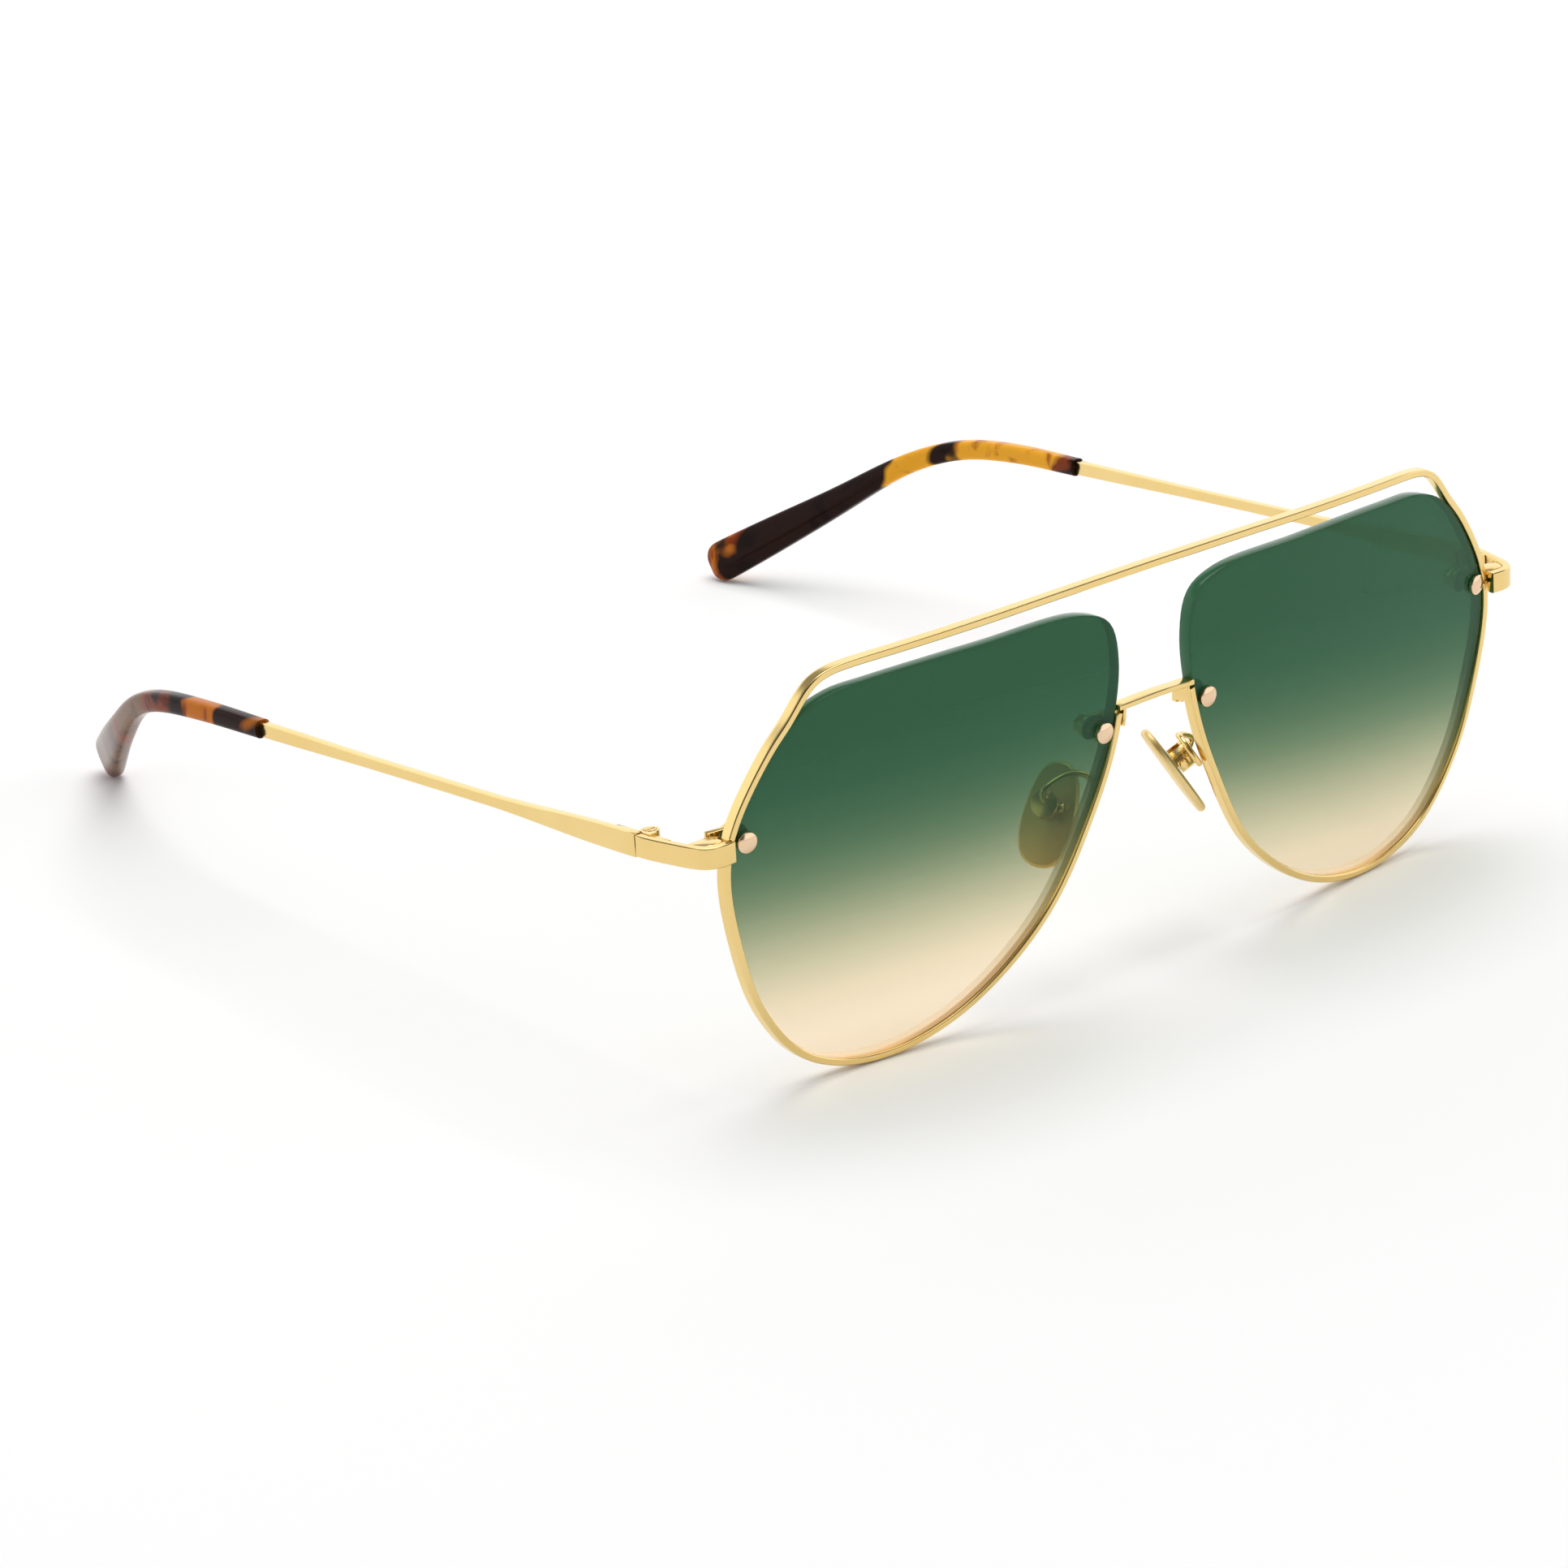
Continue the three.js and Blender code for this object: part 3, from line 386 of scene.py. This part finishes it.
def refined(node, levels, bevel, segments=2, crease_above=22, smooth_below=40):
    """Copies a node's mesh and smooths it; bevel is in millimetres, the angles in degrees."""
    pick(frame["nodes"][node])
    bpy.ops.object.duplicate()
    piece = bpy.context.object
    piece.data.materials.clear()
    bpy.ops.object.mode_set(mode="EDIT")
    bpy.ops.mesh.select_all(action="SELECT")
    bpy.ops.mesh.remove_doubles(threshold=MERGE_WITHIN)
    bpy.ops.mesh.customdata_custom_splitnormals_clear()
    bpy.ops.mesh.tris_convert_to_quads(
        face_threshold=math.radians(20), shape_threshold=math.radians(60)
    )
    if levels:
        bpy.ops.mesh.select_all(action="DESELECT")
        bpy.ops.mesh.select_mode(type="EDGE")
        bpy.ops.mesh.edges_select_sharp(sharpness=math.radians(crease_above))
        bpy.ops.transform.edge_crease(value=1.0)
    bpy.ops.object.mode_set(mode="OBJECT")
    if levels:
        smooth = piece.modifiers.new("smooth", "SUBSURF")
        smooth.levels = smooth.render_levels = levels
    if bevel:
        edge = add_bevel(piece, bevel, segments, BEVEL_ABOVE)
        edge.harden_normals = False
    apply_modifiers(piece)
    pick(piece)
    bpy.ops.object.shade_smooth_by_angle(angle=math.radians(smooth_below))
    return piece


# %% The gold pieces
# node: subdivision levels, bevel in millimetres
LONG = {"brow_wire": (2, 0.05), "bridge": (0, 0.08)}
PAIRED = {
    "rim": (2, 0.05),
    "end_piece": (2, 0.2),
    "rim_lock": (0, 0.15),
    "rim_lock_screw": (0, 0.06),
    "lens_tab_temple": (0, 0.08),
    "lens_tab_nose": (0, 0.08),
    "lens_nut_temple": (0, 0.06),
    "lens_nut_nose": (0, 0.06),
    "hinge_front_leaf": (0, 0.06),
    "hinge_temple_leaf": (0, 0.06),
    "hinge_screw": (0, 0.04),
    "temple": (1, 0.08),
    "pad_arm": (1, 0),
    "pad_box": (0, 0.25),
    "pad_screw": (0, 0.06),
}
jobs = dict(LONG)
for name, how in PAIRED.items():
    for side in SIDES:
        jobs[f"{name}_{side}"] = how
count = 0
for node, (levels, bevel) in jobs.items():
    crease_above = 50 if node.startswith("pad_arm") else 22  # the arms bend tightly but smoothly
    piece = refined(node, levels, bevel, crease_above=crease_above)
    hand_over(piece, f"fine_{node}", body_of_node(node), gold, [node])
    count += len(piece.data.polygons)
for place_name in ("temple", "nose"):
    for side in SIDES:
        node = f"lens_bushing_{place_name}_{side}"
        piece = refined(node, 0, 0.05)
        hand_over(piece, f"fine_{node}", body_of_node(node), clear, [node])
print(len(jobs), "gold pieces,", count, "faces")

# %% [markdown]
# ## Temple tips
# The tips have no sharp edge but the mouth, so the same refining without creases turns their
# faceted tube into a smooth moulded one.

# %% The tips
for side in SIDES:
    node = f"temple_tip_{side}"
    piece = refined(node, 2, 0, crease_above=60, smooth_below=60)
    name = f"tortoiseshell_tip_{side}"
    hand_over(piece, name, body_of_node(node), tips[side], [node])
    print(piece.name, len(piece.data.polygons), "faces")

# %% [markdown]
# ## Lenses
# Each lens is cut from a sheet that is part of a sphere. By hand, the outline is drawn first, as a
# circle whose points are moved onto the lens edge. Then it is extruded inwards ring by ring, each
# ring a smaller copy of the last, until the middle closes. Pushing every point back onto the sphere
# gives an even, smooth sheet, which a Solidify modifier thickens. Cutting a sphere with the
# outline would leave long thin triangles that show in the gloss.

# %% The lens outline and its sphere
CURVE_RADIUS = 340.0
CURVE_TIP = Vector((5.2, -0.05, 18.9))
LENS_THICKNESS = 1.9
OUTLINE = [
    (65.4, 1.2), (66.2, -4), (64.8, -12.5), (60.9, -23.3), (54, -31.25), (43.5, -34.15), (30.8, -31.3),
    (18.6, -22.2), (11.3, -10), (7.5, -0.3), (6.1, 9.3), (7.5, 14.7), (12, 16.9), (28, 17.2), (45, 16.9),
    (51.5, 16.4), (56.5, 14.2), (61.4, 8.6),
]


def sphere_depth(x, z):
    """How far back the front of the lens lies, in millimetres."""
    across, up = abs(x) - CURVE_TIP.x, z - CURVE_TIP.z
    return CURVE_TIP.y + CURVE_RADIUS - math.sqrt(CURVE_RADIUS**2 - across**2 - up**2)


def outline_points(count):
    """Evenly spaced points on the smooth closed curve through OUTLINE."""
    corners = [Vector(p) for p in OUTLINE]
    total = len(corners)
    dense = []
    for i in range(total):
        a, b, c, d = (corners[(i + k - 1) % total] for k in range(4))
        t1 = (b - a).length ** 0.5
        t2 = t1 + (c - b).length ** 0.5
        t3 = t2 + (d - c).length ** 0.5
        for step in range(24):
            t = t1 + (t2 - t1) * step / 24
            ab = a * (t1 - t) / t1 + b * t / t1
            bc = b * (t2 - t) / (t2 - t1) + c * (t - t1) / (t2 - t1)
            cd = c * (t3 - t) / (t3 - t2) + d * (t - t2) / (t3 - t2)
            abc = ab * (t2 - t) / t2 + bc * t / t2
            bcd = bc * (t3 - t) / (t3 - t1) + cd * (t - t1) / (t3 - t1)
            dense.append(abc * (t2 - t) / (t2 - t1) + bcd * (t - t1) / (t2 - t1))
    lengths = [0.0]
    for i in range(len(dense)):
        lengths.append(lengths[-1] + (dense[(i + 1) % len(dense)] - dense[i]).length)
    points, at = [], 0
    for k in range(count):
        goal = lengths[-1] * k / count
        while lengths[at + 1] < goal:
            at += 1
        share = (goal - lengths[at]) / (lengths[at + 1] - lengths[at])
        points.append(dense[at].lerp(dense[(at + 1) % len(dense)], share))
    return points


EDGE_POINTS = outline_points(168)
print("lens width", round(max(p.x for p in EDGE_POINTS) - min(p.x for p in EDGE_POINTS), 2), "mm")

# %% Model the lens
LENS_MIDDLE = Vector((35, 0, -6))
RINGS = 12
FIRST_RING = 0.975  # the first ring stays close to the edge
LENS_BEVEL = 0.18


def model_lens(side):
    sign = SIDES[side]
    deselect()
    bpy.ops.mesh.primitive_circle_add(vertices=len(EDGE_POINTS), radius=0.03, fill_type="NOTHING")
    lens = bpy.context.object
    for vertex, point in zip(lens.data.vertices, EDGE_POINTS):
        vertex.co = (sign * point.x, 0, point.y)
    middle = (sign * LENS_MIDDLE.x, 0, LENS_MIDDLE.z)
    bpy.ops.object.mode_set(mode="EDIT")
    bpy.ops.mesh.select_all(action="SELECT")
    size = 1.0
    for ring in range(1, RINGS):
        smaller = 1.0 - (ring / RINGS) if ring > 1 else FIRST_RING
        bpy.ops.mesh.extrude_edges_move()
        factor = smaller / size
        bpy.ops.transform.resize(value=(factor, factor, factor), center_override=middle)
        size = smaller
    bpy.ops.mesh.edge_face_add()
    bpy.ops.mesh.poke()
    bpy.ops.mesh.select_all(action="SELECT")
    bpy.ops.mesh.normals_make_consistent(inside=False)
    bpy.ops.object.mode_set(mode="OBJECT")
    for vertex in lens.data.vertices:
        vertex.co.y = sphere_depth(vertex.co.x, vertex.co.z)
    facing = sum(face.normal.y * face.area for face in lens.data.polygons)
    if facing > 0:
        lens.data.flip_normals()
    lens.data.transform(Matrix.Scale(MM, 4))
    wall = lens.modifiers.new("wall", "SOLIDIFY")
    wall.thickness = LENS_THICKNESS * MM
    wall.offset = -1
    wall.use_even_offset = True
    add_bevel(lens, LENS_BEVEL, 2, 50)
    apply_modifiers(lens)
    lens.data.transform(FRONT)
    return lens


# %% Drill the lenses
SCREWS = {"temple": (64.0, 0.2), "nose": (9.1, 0.5)}
HOLE_RADIUS = 1.05


def screw_axis(place_name, side):
    """The frame of a lens screw: its Z axis points back through the lens, zero is on the front."""
    x, z = SCREWS[place_name]
    sign = SIDES[side]
    back = Vector((-(x - CURVE_TIP.x) * sign, CURVE_RADIUS, -(z - CURVE_TIP.z))).normalized()
    turn = back.to_track_quat("Z", "Y").to_matrix().to_4x4()
    at = Vector((sign * x, sphere_depth(x, z), z)) * MM
    return FRONT @ Matrix.Translation(at) @ turn


for side in SIDES:
    lens = model_lens(side)
    for place_name in SCREWS:
        pick(lens)
        bpy.ops.mesh.primitive_cylinder_add(vertices=40, radius=HOLE_RADIUS * MM, depth=6 * MM)
        drill = bpy.context.object
        drill.data.transform(screw_axis(place_name, side))
        cut = lens.modifiers.new("hole", "BOOLEAN")
        cut.operation = "DIFFERENCE"
        cut.object = drill
        cut.solver = "EXACT"
        apply_modifiers(lens)
        bpy.data.objects.remove(drill)
    pick(lens)
    bpy.ops.object.shade_smooth_by_angle(angle=math.radians(35))
    hand_over(lens, f"dyed_lens_{side}", "front", lens_finish[side], [f"lens_{side}"])
    lens.data.materials.append(edge_finish[side])
    for face in lens.data.polygons:
        face.material_index = 1 if abs(face.normal.y) < 0.5 else 0
    print(lens.name, len(lens.data.polygons), "faces")

# %% [markdown]
# ## Lens screws
# A low polished dome on a thin shank. By hand that is one cylinder for the side of the head. Its
# back face is inset to the width of the shank and extruded. Its front face is inset ring by ring,
# and each ring is lifted a little less than the last, which makes the dome. A flat disc would
# mirror one tone of the room, and a dome mirrors light and dark together.

# %% Model the screws
HEAD_RADIUS, SIDE_HEIGHT, SEAT = 1.375, 0.55, 0.1
DOME_STEPS = [(0.175, 0.088), (0.2, 0.083), (0.25, 0.08), (0.25, 0.055), (0.25, 0.033)]  # in and out
SHANK_RADIUS, SHANK_LENGTH = 0.6, 4.35
SCREW_BEVEL = 0.05


def model_screw(place_name, side):
    deselect()
    bpy.ops.mesh.primitive_cylinder_add(
        vertices=64, radius=HEAD_RADIUS * MM, depth=SIDE_HEIGHT * MM,
        location=(0, 0, -(SEAT + SIDE_HEIGHT / 2) * MM),
    )
    screw = bpy.context.object
    bpy.ops.object.transform_apply(location=True, rotation=False, scale=False)
    bpy.ops.object.mode_set(mode="EDIT")
    select_faces(screw, lambda face: face.normal.z > 0.9)
    bpy.ops.mesh.inset(thickness=(HEAD_RADIUS - SHANK_RADIUS) * MM)
    bpy.ops.mesh.extrude_region_move(TRANSFORM_OT_translate={"value": (0, 0, SHANK_LENGTH * MM)})
    select_faces(screw, lambda face: face.normal.z < -0.9)
    for inward, outward in DOME_STEPS:
        bpy.ops.mesh.inset(thickness=inward * MM, depth=outward * MM)
    bpy.ops.mesh.poke()
    bpy.ops.object.mode_set(mode="OBJECT")
    add_bevel(screw, SCREW_BEVEL, 2, 50)
    apply_modifiers(screw)
    pick(screw)
    bpy.ops.object.shade_smooth_by_angle(angle=math.radians(30))
    screw.data.transform(screw_axis(place_name, side))
    return screw


for place_name in SCREWS:
    for side in SIDES:
        node = f"lens_screw_{place_name}_{side}"
        hand_over(model_screw(place_name, side), f"disc_screw_{place_name}_{side}", "front",
                  rose, [node])
print(len(SCREWS) * len(SIDES), "lens screws")

# %% [markdown]
# ## Nose pads
# These are stamped metal pads with a soft edge and a lug behind. A pad could be a disc that is
# stretched and extruded, but the lug has to stay exactly round its pivot. The engineering model
# has both in the right place, so the pad is refined like the wires, with a wider bevel of three
# segments for the soft edge.

# %% The pads
for side in SIDES:
    node = f"nose_pad_{side}"
    piece = refined(node, 0, 0.12, segments=3)
    hand_over(piece, f"satin_pad_{side}", body_of_node(node), satin, [node])
    print(piece.name, len(piece.data.polygons), "faces")

# %% [markdown]
# ## Studio
# A plain pale floor, and a soft white room. Its walls are bright up to about 30 degrees above the
# horizon, darker in a band above that, and fairly bright again overhead. One patch, in the direction
# where the camera stands, is darker still, like an open doorway.
# It is fixed in the room and doesn't follow the camera. Flat sides of the wire mirror the bright
# walls, and the broken edges mirror the darker parts, which draws the thin brown lines that
# polished wire has.

# %% Floor
deselect()
bpy.ops.mesh.primitive_plane_add(size=8, location=(0, 0, 0))
floor = bpy.context.object
floor.name = "floor"
floor_finish, _, _, floor_shader = new_material("pale_floor")
floor_shader.inputs["Base Color"].default_value = (0.93, 0.93, 0.93, 1)
floor_shader.inputs["Roughness"].default_value = 0.9
floor_shader.inputs["Specular IOR Level"].default_value = 0.1
floor.data.materials.append(floor_finish)
print("floor", floor.name)

# %% The room
# Sine of the height above the horizon, which is 1 straight up, and how bright the wall is there.
WALL_TONES = ((0.5, 1.0), (0.62, 0.25), (0.8, 0.2), (0.88, 0.8))
DOORWAY = (-0.602, -0.706, 0.373)  # the direction of the dark patch
DOORWAY_EDGE = (0.74, 0.84)  # cosines of the angles where it begins and where it is darkest
ROOM_STRENGTH = 1.25

world = bpy.data.worlds.new("soft_room")
bpy.context.scene.world = world
world.use_nodes = True
sky, sky_links = world.node_tree.nodes, world.node_tree.links
ways = add(sky, "ShaderNodeTexCoord")
sky_split = add(sky, "ShaderNodeSeparateXYZ")
sky_links.new(ways.outputs["Generated"], sky_split.inputs["Vector"])
walls = add(sky, "ShaderNodeValToRGB")
walls.color_ramp.elements[0].position = 0.0
walls.color_ramp.elements[0].color = (1, 1, 1, 1)
walls.color_ramp.elements[1].position = 1.0
walls.color_ramp.elements[1].color = (0.75, 0.75, 0.75, 1)
for at, tone in WALL_TONES:
    step = walls.color_ramp.elements.new(at)
    step.color = (tone, tone, tone, 1)
sky_links.new(sky_split.outputs["Z"], walls.inputs["Fac"])
toward = add(sky, "ShaderNodeVectorMath", operation="DOT_PRODUCT")
toward.inputs[1].default_value = DOORWAY
sky_links.new(ways.outputs["Generated"], toward.inputs[0])
doorway = add(sky, "ShaderNodeValToRGB")
doorway.color_ramp.elements[0].position = DOORWAY_EDGE[0]
doorway.color_ramp.elements[0].color = (1, 1, 1, 1)
doorway.color_ramp.elements[1].position = DOORWAY_EDGE[1]
doorway.color_ramp.elements[1].color = (0.12, 0.11, 0.10, 1)
sky_links.new(toward.outputs["Value"], doorway.inputs["Fac"])
room = add(sky, "ShaderNodeMix", data_type="RGBA", blend_type="MULTIPLY")
room.inputs[0].default_value = 1.0
sky_links.new(walls.outputs["Color"], room.inputs[6])
sky_links.new(doorway.outputs["Color"], room.inputs[7])
sky_links.new(room.outputs[2], sky["Background"].inputs["Color"])
sky["Background"].inputs["Strength"].default_value = ROOM_STRENGTH
print("room strength", ROOM_STRENGTH)

# %% The softbox
SOFTBOX_SIZE, SOFTBOX_WATTS = 1.2, 12.5
light = bpy.data.lights.new("overhead_softbox", "AREA")
light.shape = "RECTANGLE"
light.size, light.size_y = SOFTBOX_SIZE, SOFTBOX_SIZE
light.energy = SOFTBOX_WATTS
softbox = bpy.data.objects.new("overhead_softbox", light)
softbox.location = (0.3, 0.2, 1.5)
bpy.context.scene.collection.objects.link(softbox)
print("softbox", SOFTBOX_WATTS, "W")

# %% The camera
CAMERA_PLACE = (-0.53562, -0.6312665, 0.3374857)
camera_data = bpy.data.cameras.new("camera")
camera_data.sensor_width = 36
camera_data.lens = 149.91
camera = bpy.data.objects.new("camera", camera_data)
right = Vector((0.753869, -0.656568, -0.024482))
back = Vector((-0.602327, -0.705514, 0.373431))
up = back.cross(right).normalized()
right = up.cross(back).normalized()
turn = Matrix((right, up, back.normalized())).transposed().to_4x4()
camera.matrix_world = Matrix.Translation(CAMERA_PLACE) @ turn
bpy.context.scene.collection.objects.link(camera)
bpy.context.scene.camera = camera
bpy.context.scene.view_settings.view_transform = "Standard"
bpy.context.scene.view_settings.look = "None"
print("camera at", CAMERA_PLACE, "lens", round(camera_data.lens, 2), "mm")
